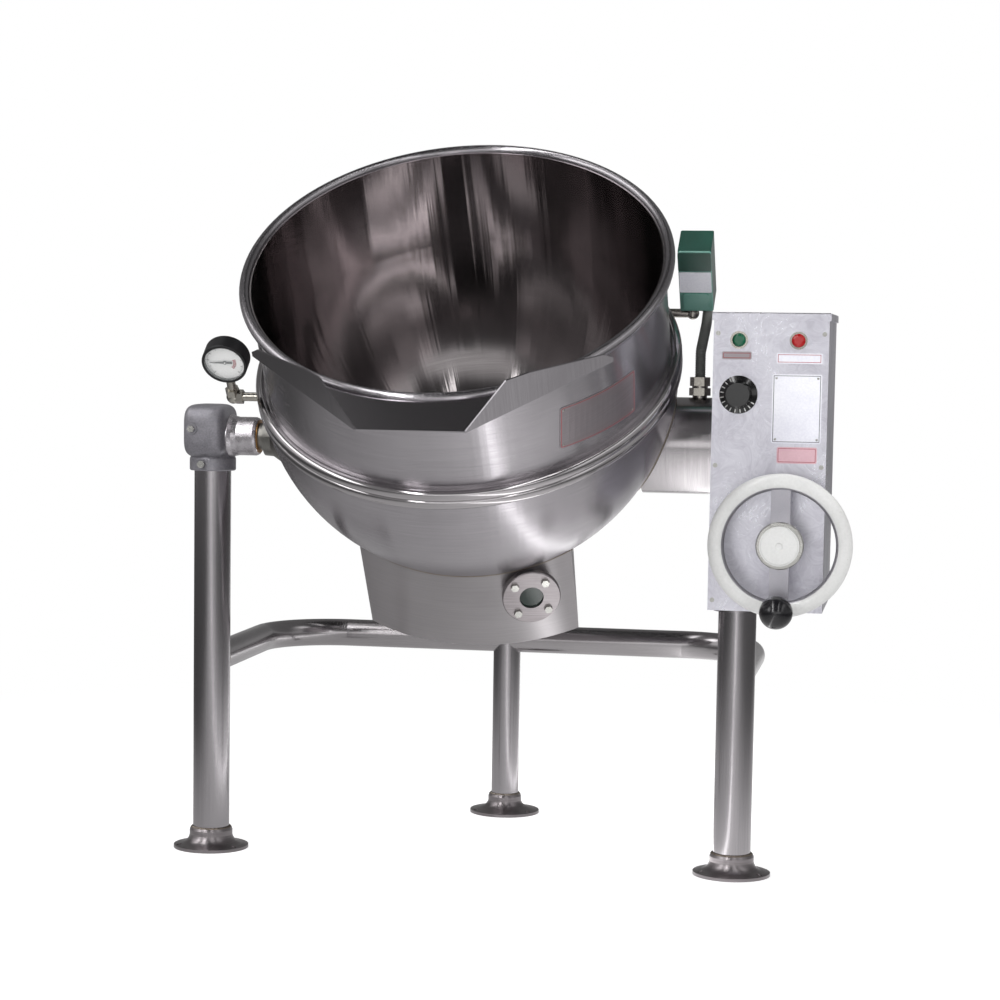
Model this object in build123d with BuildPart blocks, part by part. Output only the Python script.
"""Tilting steam-jacketed kettle, electrically heated, on a three-legged tubular stand.

Millimetres. X runs from the plain bearing on the left to the control console on the right,
Y runs from the pouring lip at the front to the rear leg, Z is up and the floor is Z = 0.
The kettle is modelled tipped forward by REST_TILT about its trunnion axis.
"""
import os
from math import acos, cos, hypot, pi, radians, sin, sqrt, tan

from build123d import *

# ---------------------------------------------------------------- driving dimensions
# stand
TRUNNION_HEIGHT = 686
KETTLE_X = -51.5
KETTLE_Y = 10.5
LEFT_LEG_GAP = 113
LEG_TO_GEAR = 76
REAR_LEG_BACK = 441
REAR_LEG_OUT = -22
LEG_RADIUS = 30.2
LEG_WALL = 2.8
LEFT_LEG_TOP = 655
RIGHT_LEG_TOP = 560
CAP_THICKNESS = 8
COLLAR_HEIGHT = 12
COLLAR_WALL = 9
REAR_TUBE_RADIUS = 24.2
REAR_TUBE_WALL = 2.6
CROSS_TUBE_HEIGHT = 316
CROSS_TUBE_BEND = 130
SADDLE_GAP = 0.02

# floor feet
FOOT_RADIUS = 62
FOOT_EDGE = 6
FOOT_HEIGHT = 34
FOOT_SOCKET_WALL = 4
FOOT_HOLE_CIRCLE = 54
FOOT_HOLE_RADIUS = 4.5

# kettle
REST_TILT = 37
VESSEL_RADIUS = 318
VESSEL_WALL = 3
VESSEL_SEAM = 172
RIM_OVERHANG = 15
RIM_BEAD = 8
RIM_TOP = 349
JACKET_PROUD = 12
JACKET_WALL = 4
JACKET_CENTRE = 150
RING_TOP = 169
RING_BOTTOM = 137
RING_BULGE = 5.5

# pouring lip
LIP_SHEET = 2.5
LIP_FRONT_HALF = 79.5
LIP_REACH = 67
LIP_TIP_INSET = 65
LIP_TIP_SET_BACK = 102
LIP_WING_RISE = 55
LIP_WING_SETBACK = 74
LIP_TIP_RISE = 8

# trunnions and tilting gear
SPINDLE_RADIUS = 22
GEAR_SHAFT_RADIUS = 22.5
TRUNNION_TUBE_RADIUS = 76.2
TRUNNION_TUBE_WALL = 3.2
RUNNING_GAP = 0.05
MODULE = 5
WHEEL_TEETH = 46
WHEEL_WIDTH = 26
WHEEL_HUB_RADIUS = 36
WHEEL_HUB_WIDTH = 40
WORM_PITCH_RADIUS = 25
WORM_HALF_LENGTH = 44
WORM_SHAFT_RADIUS = 11
BACKLASH = 0.7
PRESSURE_ANGLE = 20
GEAR_GAP = 170

# left bearing
CASTING_RADIUS = 52
CASTING_OUTSIDE = 51
CASTING_INSIDE = 45
NOSE_RADIUS = 31
NOSE_GAP = 32
BUSH_WALL = 5

# console
CONSOLE_TO_GEAR = 113
CONSOLE_WIDTH = 175
WHEEL_TO_CONSOLE = 11
CONSOLE_FLOOR = 438
CONSOLE_TOP = 885
CONSOLE_SHEET = 2
COVER_HEIGHT = 12
COVER_LAP = 2.5
GEARBOX_WALL = 12
GEARBOX_HALF_DEPTH = 76
GEARBOX_HALF_WIDTH = 44
GEARBOX_FLOOR = 497
LAMP_HEIGHT = 853
LAMP_RADIUS = 10.5
GREEN_LAMP_INSET = 39
RED_LAMP_INSET = 46
DIAL_HEIGHT = 770
DIAL_INSET = 40
DIAL_RADIUS = 29

# handwheel
WHEEL_PLANE = -200
RIM_MEAN_RADIUS = 96
RIM_HALF_WIDTH = 12.5
RIM_HALF_DEPTH = 10
SPOKE_WIDTH = 29
SPOKE_THICKNESS = 8
HUB_RADIUS = 30
HUB_LENGTH = 34
KNOB_RADIUS = 25

# heater housing under the bowl
HOUSING_HALF_WIDTH = 170
HOUSING_ARC_RADIUS = 314
HOUSING_CORNER_OUT = 180
HOUSING_BOTTOM = -232
HOUSING_SHEET = 2
COVER_SHEET = 3

# pressure gauge
GAUGE_GAP = 31
GAUGE_Y = -90
GAUGE_Z = 226
GAUGE_RADIUS = 36
GAUGE_DEPTH = 28
GAUGE_FACE_RADIUS = 31.5
STEAM_TAP_HEIGHT = 153
PIPE_RADIUS = 7

# pressure switch
SWITCH_INSET = 8
SWITCH_FRONT = 130
SWITCH_BOTTOM = 167
SWITCH_WIDTH = 52
SWITCH_DEPTH = 60
SWITCH_HEIGHT = 112
CONDUIT_RADIUS = 8.5
CONNECTOR_GAP = 26

# sight glass
SIGHT_RADIUS = 46
SIGHT_OUT = 104
SIGHT_BOTTOM = -125
SIGHT_GLASS_RADIUS = 19

TILT = radians(REST_TILT)
RIM_RADIUS = VESSEL_RADIUS + RIM_OVERHANG
JACKET_RADIUS = VESSEL_RADIUS + JACKET_PROUD
LIP_FRONT_OUT = RIM_RADIUS + LIP_REACH
LIP_TIP_HALF = RIM_RADIUS - LIP_TIP_INSET
LIP_TIP_OUT = RIM_RADIUS - LIP_TIP_SET_BACK
LEFT_LEG_OUT = JACKET_RADIUS + LEFT_LEG_GAP
CASTING_LEFT = LEFT_LEG_OUT + CASTING_OUTSIDE
CASTING_RIGHT = LEFT_LEG_OUT - CASTING_INSIDE
NOSE_RIGHT = JACKET_RADIUS + NOSE_GAP
GEAR_OUT = JACKET_RADIUS + GEAR_GAP
RIGHT_LEG_OUT = GEAR_OUT - LEG_TO_GEAR
CONSOLE_LEFT = GEAR_OUT - CONSOLE_TO_GEAR
GREEN_LAMP_OUT = CONSOLE_LEFT + GREEN_LAMP_INSET
RED_LAMP_OUT = CONSOLE_LEFT + CONSOLE_WIDTH - RED_LAMP_INSET
DIAL_OUT = CONSOLE_LEFT + DIAL_INSET
GAUGE_X = -JACKET_RADIUS - GAUGE_GAP
SWITCH_LEFT = JACKET_RADIUS - SWITCH_INSET
CONNECTOR_OUT = JACKET_RADIUS + CONNECTOR_GAP
LEFT_LEG_X = KETTLE_X - LEFT_LEG_OUT
RIGHT_LEG_X = KETTLE_X + RIGHT_LEG_OUT
REAR_LEG_X = KETTLE_X + REAR_LEG_OUT
REAR_LEG_Y = KETTLE_Y + REAR_LEG_BACK
GEAR_X = KETTLE_X + GEAR_OUT
WHEEL_RADIUS = MODULE * WHEEL_TEETH / 2
CONSOLE_HALF_DEPTH = WHEEL_RADIUS + WHEEL_TO_CONSOLE
WORM_HEIGHT = TRUNNION_HEIGHT - WHEEL_RADIUS - WORM_PITCH_RADIUS
LEAD = pi * MODULE

# The kettle's own frame: origin on the trunnion axis, z along the axis of the bowl.
KETTLE = Plane(
    origin=(KETTLE_X, KETTLE_Y, TRUNNION_HEIGHT),
    x_dir=(1, 0, 0),
    z_dir=(0, -sin(TILT), cos(TILT)),
)
KETTLE_FRONT = Plane(origin=KETTLE.origin, x_dir=KETTLE.x_dir, z_dir=-KETTLE.y_dir)
KETTLE_SIDE = Plane(origin=KETTLE.origin, x_dir=KETTLE.y_dir, z_dir=KETTLE.x_dir)
KETTLE_AXIS = Axis(KETTLE.origin, KETTLE.z_dir)
TRUNNION_AXIS = Axis(KETTLE.origin, (1, 0, 0))

os.makedirs("parts", exist_ok=True)


# ---------------------------------------------------------------- helpers
def on_kettle(point, normal=(0, 0, 1), across=(1, 0, 0)):
    """Plane at a point of the kettle's frame, its directions given in that frame too."""
    turn = Plane(origin=(0, 0, 0), x_dir=KETTLE.x_dir, z_dir=KETTLE.z_dir)
    return Plane(
        origin=KETTLE.from_local_coords(Vector(*point)),
        x_dir=turn.from_local_coords(Vector(*across)),
        z_dir=turn.from_local_coords(Vector(*normal)),
    )


def facing(x, y, z, normal, across=(1, 0, 0)):
    """Plane at a point of the stand, with a normal and a direction for its own x."""
    return Plane(origin=(x, y, z), x_dir=across, z_dir=normal)


def to_the_right(out, y=0.0, z=TRUNNION_HEIGHT):
    """Plane square to the trunnion axis, a distance out from the middle of the kettle."""
    return facing(KETTLE_X + out, KETTLE_Y + y, z, (1, 0, 0), (0, 1, 0))


def to_the_front(out, back, z):
    """Plane facing the front, a distance out from the middle and back from the trunnions."""
    return facing(KETTLE_X + out, KETTLE_Y + back, z, (0, -1, 0))


def rod(plane, radius, length, bore=0.0, mode=Mode.ADD):
    """Round bar or tube along a plane's normal."""
    with BuildSketch(plane) as section:
        Circle(radius)
        if bore:
            Circle(bore, mode=Mode.SUBTRACT)
    extrude(section.sketch, amount=length, mode=mode)


def block(plane, width, height, length, corner=0.0, mode=Mode.ADD):
    """Bar of rectangular section along a plane's normal, its edges rounded by corner."""
    with BuildSketch(plane) as section:
        if corner:
            RectangleRounded(width, height, corner)
        else:
            Rectangle(width, height)
    extrude(section.sketch, amount=length, mode=mode)


def hexagon(plane, across_corners, length, bore=0.0):
    """Hexagonal bar along a plane's normal."""
    with BuildSketch(plane) as section:
        RegularPolygon(across_corners, 6)
        if bore:
            Circle(bore, mode=Mode.SUBTRACT)
    extrude(section.sketch, amount=length)


def bowl_arc(radius, centre):
    """Quarter circle from the bottom of a bowl up to its edge."""
    return ThreePointArc(
        (0, centre - radius),
        (radius * sin(pi / 4), centre - radius * cos(pi / 4)),
        (radius, centre),
    )


def jacket_reach(height):
    """Radius of the jacket's outside at a height on the kettle's axis."""
    return sqrt(JACKET_RADIUS**2 - (height - JACKET_CENTRE) ** 2)


def cut_by_bowl(radius=JACKET_RADIUS):
    """Take away what lies inside the jacket's outer surface."""
    with Locations(on_kettle((0, 0, JACKET_CENTRE))):
        Sphere(radius, mode=Mode.SUBTRACT)


# ---------------------------------------------------------------- stand
def upright(x, y, radius, wall, bottom, top):
    """One tubular leg."""
    with BuildPart() as leg:
        rod(Plane.XY.offset(bottom).move(Location((x, y, 0))), radius, top - bottom, radius - wall)
    return leg


left_leg = upright(LEFT_LEG_X, KETTLE_Y, LEG_RADIUS, LEG_WALL, FOOT_EDGE, LEFT_LEG_TOP)
left_leg.part.label = "left_leg"
export_step(left_leg.part, "parts/left_leg.step")

# The right leg has a cap plate for the gearbox and a collar for the console welded to it.
with BuildPart() as right_leg:
    add(upright(RIGHT_LEG_X, KETTLE_Y, LEG_RADIUS, LEG_WALL, FOOT_EDGE, RIGHT_LEG_TOP).part)
    rod(facing(RIGHT_LEG_X, KETTLE_Y, RIGHT_LEG_TOP, (0, 0, 1)), LEG_RADIUS, CAP_THICKNESS)
    rod(
        facing(RIGHT_LEG_X, KETTLE_Y, CONSOLE_FLOOR - COLLAR_HEIGHT, (0, 0, 1)),
        LEG_RADIUS + COLLAR_WALL,
        COLLAR_HEIGHT,
        LEG_RADIUS - LEG_WALL,
    )
right_leg.part.label = "right_leg"
export_step(right_leg.part, "parts/right_leg.step")

# The cross tube runs from leg to leg behind the kettle, bent forward at both ends.
with BuildPart() as cross_tube:
    with BuildLine(Plane.XY.offset(CROSS_TUBE_HEIGHT)) as run:
        FilletPolyline(
            (LEFT_LEG_X, KETTLE_Y),
            (LEFT_LEG_X, REAR_LEG_Y),
            (RIGHT_LEG_X, REAR_LEG_Y),
            (RIGHT_LEG_X, KETTLE_Y),
            radius=CROSS_TUBE_BEND,
        )
    with BuildSketch(Plane(origin=run.line @ 0, z_dir=run.line % 0)):
        Circle(REAR_TUBE_RADIUS)
        Circle(REAR_TUBE_RADIUS - REAR_TUBE_WALL, mode=Mode.SUBTRACT)
    sweep(path=run.line)
    for leg_x in (LEFT_LEG_X, RIGHT_LEG_X):
        rod(facing(leg_x, KETTLE_Y, FOOT_EDGE, (0, 0, 1)), LEG_RADIUS, RIGHT_LEG_TOP, mode=Mode.SUBTRACT)
cross_tube.part.label = "cross_tube"
export_step(cross_tube.part, "parts/cross_tube.step")

with BuildPart() as rear_leg:
    rod(
        facing(REAR_LEG_X, REAR_LEG_Y, FOOT_EDGE, (0, 0, 1)),
        REAR_TUBE_RADIUS,
        CROSS_TUBE_HEIGHT - FOOT_EDGE,
        REAR_TUBE_RADIUS - REAR_TUBE_WALL,
    )
    rod(
        facing(REAR_LEG_X - LEG_RADIUS, REAR_LEG_Y, CROSS_TUBE_HEIGHT, (1, 0, 0), (0, 1, 0)),
        REAR_TUBE_RADIUS + SADDLE_GAP,
        2 * LEG_RADIUS,
        mode=Mode.SUBTRACT,
    )
rear_leg.part.label = "rear_leg"
export_step(rear_leg.part, "parts/rear_leg.step")


def flanged_foot(x, y, leg_radius):
    """Cast foot: flange with three bolt holes, flared neck and a socket round the leg."""
    socket = leg_radius + FOOT_SOCKET_WALL
    flare = FOOT_RADIUS - 14
    with BuildPart() as foot:
        with BuildSketch(facing(x, y, 0, (0, -1, 0))):
            with BuildLine():
                Polyline((0, 0), (FOOT_RADIUS, 0), (FOOT_RADIUS, FOOT_EDGE - 1), (flare, FOOT_EDGE + 2))
                Spline(
                    (flare, FOOT_EDGE + 2),
                    (socket + 1.5, FOOT_HEIGHT - 12),
                    tangents=((-1, 0.25), (-0.2, 1)),
                )
                Line((socket + 1.5, FOOT_HEIGHT - 12), (socket + 1.5, FOOT_HEIGHT - 4))
                Line((socket + 1.5, FOOT_HEIGHT - 4), (socket, FOOT_HEIGHT))
                Polyline((socket, FOOT_HEIGHT), (leg_radius, FOOT_HEIGHT), (leg_radius, FOOT_EDGE))
                Polyline((leg_radius, FOOT_EDGE), (0, FOOT_EDGE), (0, 0))
            make_face()
        revolve(axis=Axis((x, y, 0), (0, 0, 1)))
        with Locations(Plane.XY.move(Location((x, y, FOOT_EDGE + 2)))):
            with PolarLocations(FOOT_HOLE_CIRCLE, 3, start_angle=90):
                Hole(FOOT_HOLE_RADIUS)
    return foot


left_foot = flanged_foot(LEFT_LEG_X, KETTLE_Y, LEG_RADIUS)
left_foot.part.label = "left_foot"
export_step(left_foot.part, "parts/left_foot.step")

right_foot = flanged_foot(RIGHT_LEG_X, KETTLE_Y, LEG_RADIUS)
right_foot.part.label = "right_foot"
export_step(right_foot.part, "parts/right_foot.step")

rear_foot = flanged_foot(REAR_LEG_X, REAR_LEG_Y, REAR_TUBE_RADIUS)
rear_foot.part.label = "rear_foot"
export_step(rear_foot.part, "parts/rear_foot.step")

# ---------------------------------------------------------------- left bearing
SOCKET_BOTTOM = TRUNNION_HEIGHT - 58
SOCKET_RADIUS = LEG_RADIUS + 9
BUSH_RADIUS = SPINDLE_RADIUS + RUNNING_GAP + BUSH_WALL
BUSH_LEFT = CASTING_LEFT - 12
CASTING_CORNER = 22

with BuildPart() as bearing_casting:
    rod(to_the_right(-CASTING_LEFT), CASTING_RADIUS, CASTING_LEFT - CASTING_RIGHT)
    fillet(bearing_casting.edges().group_by(Axis.X)[0], CASTING_CORNER)
    fillet(bearing_casting.edges().group_by(Axis.X)[-1], CASTING_CORNER / 2)
    rod(to_the_right(-CASTING_RIGHT - 4), NOSE_RADIUS, CASTING_RIGHT + 4 - NOSE_RIGHT)
    rod(facing(LEFT_LEG_X, KETTLE_Y, SOCKET_BOTTOM, (0, 0, 1)), SOCKET_RADIUS, 50)
    rod(
        facing(LEFT_LEG_X, KETTLE_Y, SOCKET_BOTTOM, (0, 0, 1)),
        LEG_RADIUS,
        LEFT_LEG_TOP - SOCKET_BOTTOM,
        mode=Mode.SUBTRACT,
    )
    rod(to_the_right(-BUSH_LEFT), BUSH_RADIUS, BUSH_LEFT - NOSE_RIGHT, mode=Mode.SUBTRACT)
    rod(to_the_front(-CASTING_LEFT + 30, -CASTING_RADIUS + 4, TRUNNION_HEIGHT + 12), 9, 6)
bearing_casting.part.label = "bearing_casting"
export_step(bearing_casting.part, "parts/bearing_casting.step")

with BuildPart() as left_bush:
    rod(
        to_the_right(-BUSH_LEFT),
        BUSH_RADIUS,
        BUSH_LEFT - NOSE_RIGHT,
        SPINDLE_RADIUS + RUNNING_GAP,
    )
left_bush.part.label = "left_bush"
export_step(left_bush.part, "parts/left_bush.step")

# ---------------------------------------------------------------- console and tilting gear
CONSOLE_MIDDLE = CONSOLE_LEFT + CONSOLE_WIDTH / 2
CONSOLE_HEIGHT = CONSOLE_TOP - CONSOLE_FLOOR
TUBE_CLEARANCE = 2
SHAFT_HOLE = WORM_SHAFT_RADIUS + 4
LAMP_STEM = LAMP_RADIUS - 2
DIAL_STEM = 4
GLAND_RADIUS = 11
GLAND_HEIGHT = 480

# Folded box, open at the front and the top, round the gear and the controls.
with BuildPart() as console_box:
    block(
        to_the_front(CONSOLE_MIDDLE, CONSOLE_HALF_DEPTH, CONSOLE_FLOOR + CONSOLE_HEIGHT / 2),
        CONSOLE_WIDTH,
        CONSOLE_HEIGHT,
        2 * CONSOLE_HALF_DEPTH - CONSOLE_SHEET,
    )
    fillet(console_box.edges().filter_by(Axis.Z).group_by(Axis.Y)[-1], 4)
    block(
        to_the_front(
            CONSOLE_MIDDLE,
            CONSOLE_HALF_DEPTH - CONSOLE_SHEET,
            CONSOLE_FLOOR + CONSOLE_SHEET + CONSOLE_HEIGHT / 2,
        ),
        CONSOLE_WIDTH - 2 * CONSOLE_SHEET,
        CONSOLE_HEIGHT,
        2 * CONSOLE_HALF_DEPTH,
        mode=Mode.SUBTRACT,
    )
    rod(
        to_the_right(CONSOLE_LEFT - 1),
        TRUNNION_TUBE_RADIUS + TUBE_CLEARANCE,
        CONSOLE_SHEET + 2,
        mode=Mode.SUBTRACT,
    )
    rod(
        facing(RIGHT_LEG_X, KETTLE_Y, CONSOLE_FLOOR - 1, (0, 0, 1)),
        LEG_RADIUS,
        CONSOLE_SHEET + 2,
        mode=Mode.SUBTRACT,
    )
    rod(
        to_the_front(CONSOLE_MIDDLE, CONSOLE_HALF_DEPTH + 1, GLAND_HEIGHT),
        GLAND_RADIUS,
        CONSOLE_SHEET + 2,
        mode=Mode.SUBTRACT,
    )
console_box.part.label = "console_box"
export_step(console_box.part, "parts/console_box.step")

with BuildPart() as front_panel:
    block(
        to_the_front(
            CONSOLE_MIDDLE,
            CONSOLE_SHEET - CONSOLE_HALF_DEPTH,
            CONSOLE_FLOOR + CONSOLE_HEIGHT / 2,
        ),
        CONSOLE_WIDTH,
        CONSOLE_HEIGHT,
        CONSOLE_SHEET,
    )
    for out, height, radius in (
        (GREEN_LAMP_OUT, LAMP_HEIGHT, LAMP_STEM),
        (RED_LAMP_OUT, LAMP_HEIGHT, LAMP_STEM),
        (DIAL_OUT, DIAL_HEIGHT, DIAL_STEM + 1),
        (GEAR_OUT, WORM_HEIGHT, SHAFT_HOLE),
    ):
        rod(
            to_the_front(out, CONSOLE_SHEET - CONSOLE_HALF_DEPTH + 1, height),
            radius,
            CONSOLE_SHEET + 2,
            mode=Mode.SUBTRACT,
        )
front_panel.part.label = "front_panel"
export_step(front_panel.part, "parts/front_panel.step")

# The cover is a tray laid over the top of the box and the panel.
with BuildPart() as console_cover:
    block(
        facing(
            KETTLE_X + CONSOLE_MIDDLE,
            KETTLE_Y,
            CONSOLE_TOP + CONSOLE_SHEET - COVER_HEIGHT + 8,
            (0, 0, 1),
        ),
        CONSOLE_WIDTH + 2 * COVER_LAP,
        2 * (CONSOLE_HALF_DEPTH + COVER_LAP),
        COVER_HEIGHT,
    )
    fillet(console_cover.edges().group_by(Axis.Z)[-1], 2)
    block(
        facing(KETTLE_X + CONSOLE_MIDDLE, KETTLE_Y, CONSOLE_TOP, (0, 0, -1)),
        CONSOLE_WIDTH,
        2 * CONSOLE_HALF_DEPTH,
        COVER_HEIGHT,
        mode=Mode.SUBTRACT,
    )
console_cover.part.label = "console_cover"
export_step(console_cover.part, "parts/console_cover.step")

# Open gearbox that stands on the leg's cap inside the console.
FOOT_PLATE = 10
WALL_LEFT = GEAR_OUT - GEARBOX_HALF_WIDTH

GEAR_BUSH_RADIUS = GEAR_SHAFT_RADIUS + RUNNING_GAP + BUSH_WALL
WORM_BUSH_RADIUS = WORM_SHAFT_RADIUS + RUNNING_GAP + 4
GEARBOX_CHEEK = 575


def gearbox_side(out):
    """Bearing wall of the gearbox, tapering up to the boss round the wheel's shaft."""
    with BuildSketch(to_the_right(out, z=0)) as side:
        with Locations((0, TRUNNION_HEIGHT)):
            Circle(GEAR_BUSH_RADIUS + 14)
        with Locations((0, GEARBOX_FLOOR + 4)):
            Rectangle(2 * GEARBOX_HALF_DEPTH, 8)
        make_hull()
    extrude(side.sketch, amount=GEARBOX_WALL)
    rod(to_the_right(out - 1), GEAR_BUSH_RADIUS, GEARBOX_WALL + 2, mode=Mode.SUBTRACT)


with BuildPart() as gearbox:
    block(
        facing(GEAR_X, KETTLE_Y, GEARBOX_FLOOR, (0, 0, 1)),
        2 * GEARBOX_HALF_WIDTH,
        2 * GEARBOX_HALF_DEPTH,
        8,
    )
    gearbox_side(WALL_LEFT)
    gearbox_side(GEAR_OUT + GEARBOX_HALF_WIDTH - GEARBOX_WALL)
    for back in (GEARBOX_HALF_DEPTH, GEARBOX_WALL - GEARBOX_HALF_DEPTH):
        block(
            to_the_front(GEAR_OUT, back, (GEARBOX_FLOOR + GEARBOX_CHEEK) / 2),
            2 * GEARBOX_HALF_WIDTH - GEARBOX_WALL,
            GEARBOX_CHEEK - GEARBOX_FLOOR,
            GEARBOX_WALL,
        )
    rod(
        to_the_front(GEAR_OUT, GEARBOX_HALF_DEPTH + 1, WORM_HEIGHT),
        WORM_BUSH_RADIUS,
        2 * GEARBOX_HALF_DEPTH + 2,
        mode=Mode.SUBTRACT,
    )
    # foot plate over the cap of the leg
    block(
        facing(
            KETTLE_X + (WALL_LEFT + RIGHT_LEG_OUT - LEG_RADIUS) / 2 + 1,
            KETTLE_Y,
            RIGHT_LEG_TOP + CAP_THICKNESS,
            (0, 0, 1),
        ),
        WALL_LEFT - RIGHT_LEG_OUT + LEG_RADIUS + 2,
        2 * LEG_RADIUS,
        FOOT_PLATE,
    )
gearbox.part.label = "gearbox"
export_step(gearbox.part, "parts/gearbox.step")

# A set screw holds the left bush, a bolt pins the casting to its leg, and two bolts with
# washers hold the gearbox down on the cap of the right leg.
with BuildPart() as frame_bolts:
    hexagon(to_the_front(-CASTING_LEFT + 30, -CASTING_RADIUS - 2, TRUNNION_HEIGHT + 12), 6, 5)
    hexagon(to_the_front(-LEFT_LEG_OUT - 8, -SOCKET_RADIUS, SOCKET_BOTTOM + 12), 6.5, 6)
    for back in (-18, 18):
        seat = facing(RIGHT_LEG_X, KETTLE_Y + back, RIGHT_LEG_TOP + CAP_THICKNESS + FOOT_PLATE, (0, 0, 1))
        rod(seat, 10, 2)
        hexagon(seat.offset(2), 9, 6)
frame_bolts.part.label = "frame_bolts"
export_step(frame_bolts.part, "parts/frame_bolts.step")


def flanged_bush(plane, bore, outside, length):
    """Plain bush whose flange lies on the inner face of its wall."""
    rod(plane, outside, length, bore)
    rod(plane, outside + 5, -3, bore)


with BuildPart() as gearbox_bushes:
    flanged_bush(
        Plane(to_the_right(WALL_LEFT + GEARBOX_WALL).origin, (0, -1, 0), (-1, 0, 0)),
        GEAR_SHAFT_RADIUS + RUNNING_GAP,
        GEAR_BUSH_RADIUS,
        GEARBOX_WALL,
    )
    flanged_bush(
        to_the_right(GEAR_OUT + GEARBOX_HALF_WIDTH - GEARBOX_WALL),
        GEAR_SHAFT_RADIUS + RUNNING_GAP,
        GEAR_BUSH_RADIUS,
        GEARBOX_WALL,
    )
    flanged_bush(
        to_the_front(GEAR_OUT, GEARBOX_WALL - GEARBOX_HALF_DEPTH, WORM_HEIGHT),
        WORM_SHAFT_RADIUS + RUNNING_GAP,
        WORM_BUSH_RADIUS,
        GEARBOX_WALL,
    )
    flanged_bush(
        facing(GEAR_X, KETTLE_Y + GEARBOX_HALF_DEPTH - GEARBOX_WALL, WORM_HEIGHT, (0, 1, 0)),
        WORM_SHAFT_RADIUS + RUNNING_GAP,
        WORM_BUSH_RADIUS,
        GEARBOX_WALL,
    )
gearbox_bushes.part.label = "gearbox_bushes"
export_step(gearbox_bushes.part, "parts/gearbox_bushes.step")


# The wheel's teeth are involutes, slanted to lie along the worm's thread.
TOOTH = pi * MODULE / 2 - BACKLASH / 2
TAPER = tan(radians(PRESSURE_ANGLE))
ADDENDUM = MODULE
DEDENDUM = 1.25 * MODULE


def involute(angle):
    """The involute function of a pressure angle."""
    return tan(angle) - angle


def tooth_half_angle(radius):
    """Half the angle that a wheel tooth spans at a radius."""
    base = WHEEL_RADIUS * cos(radians(PRESSURE_ANGLE))
    here = acos(min(1.0, base / radius))
    at_pitch = TOOTH / (2 * WHEEL_RADIUS)
    return at_pitch + involute(radians(PRESSURE_ANGLE)) - involute(here)


def wheel_profile(plane, turn):
    """Outline of the toothed wheel, turned about its axis by an angle."""
    corners = []
    for tooth in range(WHEEL_TEETH):
        middle = turn - pi / 2 + tooth * 2 * pi / WHEEL_TEETH
        flank = (WHEEL_RADIUS - DEDENDUM, WHEEL_RADIUS, WHEEL_RADIUS + ADDENDUM)
        for side, radii in ((-1, flank), (1, flank[::-1])):
            for radius in radii:
                angle = middle + side * tooth_half_angle(radius)
                corners.append((radius * cos(angle), radius * sin(angle)))
    with BuildSketch(plane) as outline:
        with BuildLine():
            Polyline(*corners, close=True)
        make_face()
    return outline.sketch


SLANT = (WHEEL_WIDTH / 2) * (LEAD / (2 * pi * WORM_PITCH_RADIUS)) / WHEEL_RADIUS

with BuildPart() as worm_wheel:
    near = wheel_profile(to_the_right(GEAR_OUT - WHEEL_WIDTH / 2), -SLANT)
    far = wheel_profile(to_the_right(GEAR_OUT + WHEEL_WIDTH / 2), SLANT)
    loft(sections=[near, far], ruled=True)
    rod(to_the_right(GEAR_OUT - WHEEL_HUB_WIDTH / 2), WHEEL_HUB_RADIUS, WHEEL_HUB_WIDTH)
    rod(
        to_the_right(GEAR_OUT - WHEEL_HUB_WIDTH / 2 - 1),
        GEAR_SHAFT_RADIUS,
        WHEEL_HUB_WIDTH + 2,
        mode=Mode.SUBTRACT,
    )
worm_wheel.part.label = "worm_wheel"
export_step(worm_wheel.part, "parts/worm_wheel.step")

# Single-start right-hand worm, its thread opposite a gap of the wheel.
CORE_RADIUS = WORM_PITCH_RADIUS - DEDENDUM
THREAD_TURNS = 5
THREAD_LENGTH = THREAD_TURNS * LEAD

with BuildPart() as worm:
    rod(
        to_the_front(GEAR_OUT, WORM_HALF_LENGTH, WORM_HEIGHT),
        CORE_RADIUS,
        2 * WORM_HALF_LENGTH,
    )
    thread_base = Plane(
        origin=(GEAR_X, KETTLE_Y - THREAD_LENGTH / 2, WORM_HEIGHT),
        x_dir=(0, 0, 1),
        z_dir=(0, 1, 0),
    )
    helix = thread_base.from_local_coords(Helix(LEAD, THREAD_LENGTH, CORE_RADIUS - 0.6))
    start = Plane(origin=helix @ 0, x_dir=(0, 0, 1), z_dir=helix % 0)
    with BuildSketch(start) as section:
        with BuildLine():
            root = TOOTH / 2 + (DEDENDUM + 0.6) * TAPER
            tip = TOOTH / 2 - ADDENDUM * TAPER
            depth = ADDENDUM + DEDENDUM + 0.6
            Polyline((0, -root), (depth, -tip), (depth, tip), (0, root), close=True)
        make_face()
    sweep(section.sketch, path=helix, is_frenet=True)
    rod(
        to_the_front(GEAR_OUT, WORM_HALF_LENGTH + 1, WORM_HEIGHT),
        WORM_SHAFT_RADIUS,
        2 * WORM_HALF_LENGTH + 2,
        mode=Mode.SUBTRACT,
    )
worm.part.label = "worm"
export_step(worm.part, "parts/worm.step")

with BuildPart() as worm_shaft:
    rod(
        to_the_front(GEAR_OUT, GEARBOX_HALF_DEPTH + 6, WORM_HEIGHT),
        WORM_SHAFT_RADIUS,
        GEARBOX_HALF_DEPTH + 6 - WHEEL_PLANE - 4,
    )
    chamfer(worm_shaft.edges().group_by(Axis.Y)[-1], 1)
worm_shaft.part.label = "worm_shaft"
export_step(worm_shaft.part, "parts/worm_shaft.step")

# ---------------------------------------------------------------- controls in the console
PANEL_FACE = -CONSOLE_HALF_DEPTH
PANEL_BACK = PANEL_FACE + CONSOLE_SHEET


def lamp_lens(out):
    """Domed coloured lens standing on the panel."""
    with BuildPart() as lens:
        rod(to_the_front(out, PANEL_FACE, LAMP_HEIGHT), LAMP_RADIUS, 7)
        fillet(lens.edges().group_by(Axis.Y)[0], 4.5)
    return lens


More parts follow.
